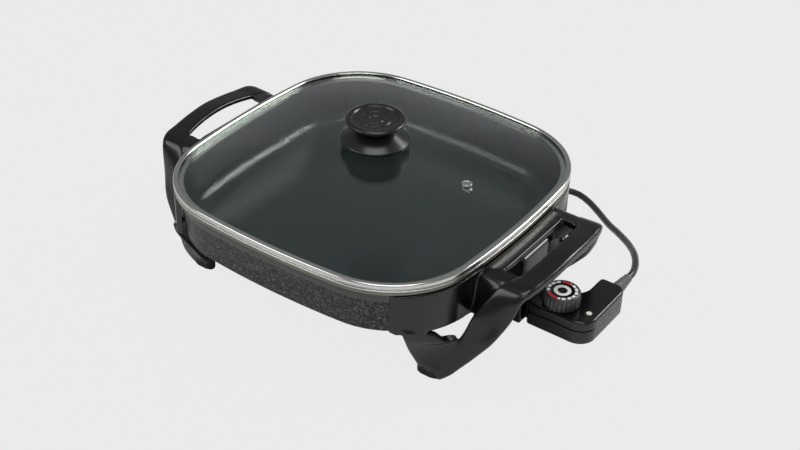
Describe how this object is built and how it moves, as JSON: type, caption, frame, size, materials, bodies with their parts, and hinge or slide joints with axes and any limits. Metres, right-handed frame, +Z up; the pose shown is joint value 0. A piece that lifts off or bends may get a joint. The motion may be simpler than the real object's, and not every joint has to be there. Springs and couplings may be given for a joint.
{
  "type": "electric skillet",
  "caption": "Square bow-sided electric skillet on leg handles, with a domed glass lid and a plug-in heat control on a cord.",
  "frame": {"origin": "on the floor under the middle of the skillet's box, cord left out", "axes": "+X towards the handle that takes the heat control, +Z up"},
  "size_m": [0.4469, 0.4441, 0.1666],
  "materials": {
    "nonstick_pan": "speckled non-stick coating over cast aluminium",
    "element_sheath": "dull heater sheath",
    "steatite": "unglazed insulator",
    "plated_pins": "nickel plated",
    "phenolic": "moulded phenolic, semi-gloss",
    "screw_steel": "zinc plated",
    "tempered_glass": "clear tempered glass",
    "steel_band": "rolled stainless steel, polished",
    "knob_plastic": "moulded phenolic, gloss",
    "silicone": "matte silicone",
    "control_plastic": "moulded phenolic, semi-gloss",
    "contact_brass": "stamped brass",
    "thermostat_metal": "spring metal",
    "lens_plastic": "tinted clear lens",
    "lamp_glass": "neon lamp",
    "dial_plastic": "moulded, fluted",
    "dial_print": "printed rings on black",
    "cord_rubber": "matte cord jacket",
    "plug_plastic": "moulded plug"
  },
  "bodies": {
    "skillet": {"pan": "nonstick_pan", "heating_element": "element_sheath", "terminal_block": "steatite", "terminal_pins": "plated_pins", "control_side_handle": "phenolic", "plain_side_handle": "phenolic", "handle_screws": "screw_steel", "handle_washers": "screw_steel"},
    "lid": {"lid_glass": "tempered_glass", "lid_rim": "steel_band", "vent_grommet": "steel_band", "knob_base": "knob_plastic", "knob_cap": "knob_plastic", "knob_gasket": "silicone", "knob_washer": "screw_steel", "knob_screw": "screw_steel"},
    "heat_control": {"control_upper_shell": "control_plastic", "control_lower_shell": "control_plastic", "control_nose": "control_plastic", "contact_sleeves": "contact_brass", "probe_tube": "plated_pins", "thermostat_frame": "steatite", "bimetal_strip": "thermostat_metal", "contact_arm": "contact_brass", "wire_terminals": "contact_brass", "control_screws": "screw_steel", "indicator_lens": "lens_plastic", "indicator_lamp": "lamp_glass", "cord_strain_relief": "cord_rubber", "power_cord": "cord_rubber", "cord_coil": "cord_rubber", "cord_end": "cord_rubber", "cord_tie": "silicone", "plug_body": "plug_plastic", "plug_blades": "plated_pins"},
    "temperature_dial": {"dial": "dial_plastic", "dial_face": "dial_print", "dial_spindle": "plated_pins"}
  },
  "joints": [
    {"name": "lid_lift", "type": "slide", "parent": "skillet", "child": "lid", "axis": [0, 0, 1], "range_m": [0, 0.12]},
    {"name": "control_pull", "type": "slide", "parent": "skillet", "child": "heat_control", "axis": [1, 0, 0], "range_m": [0, 0.125]},
    {"name": "dial_turn", "type": "hinge", "parent": "heat_control", "child": "temperature_dial", "pos_m": [0.1875, 0, 0.06], "axis": [0, 0, 1], "range_deg": [0, 290]}
  ]
}
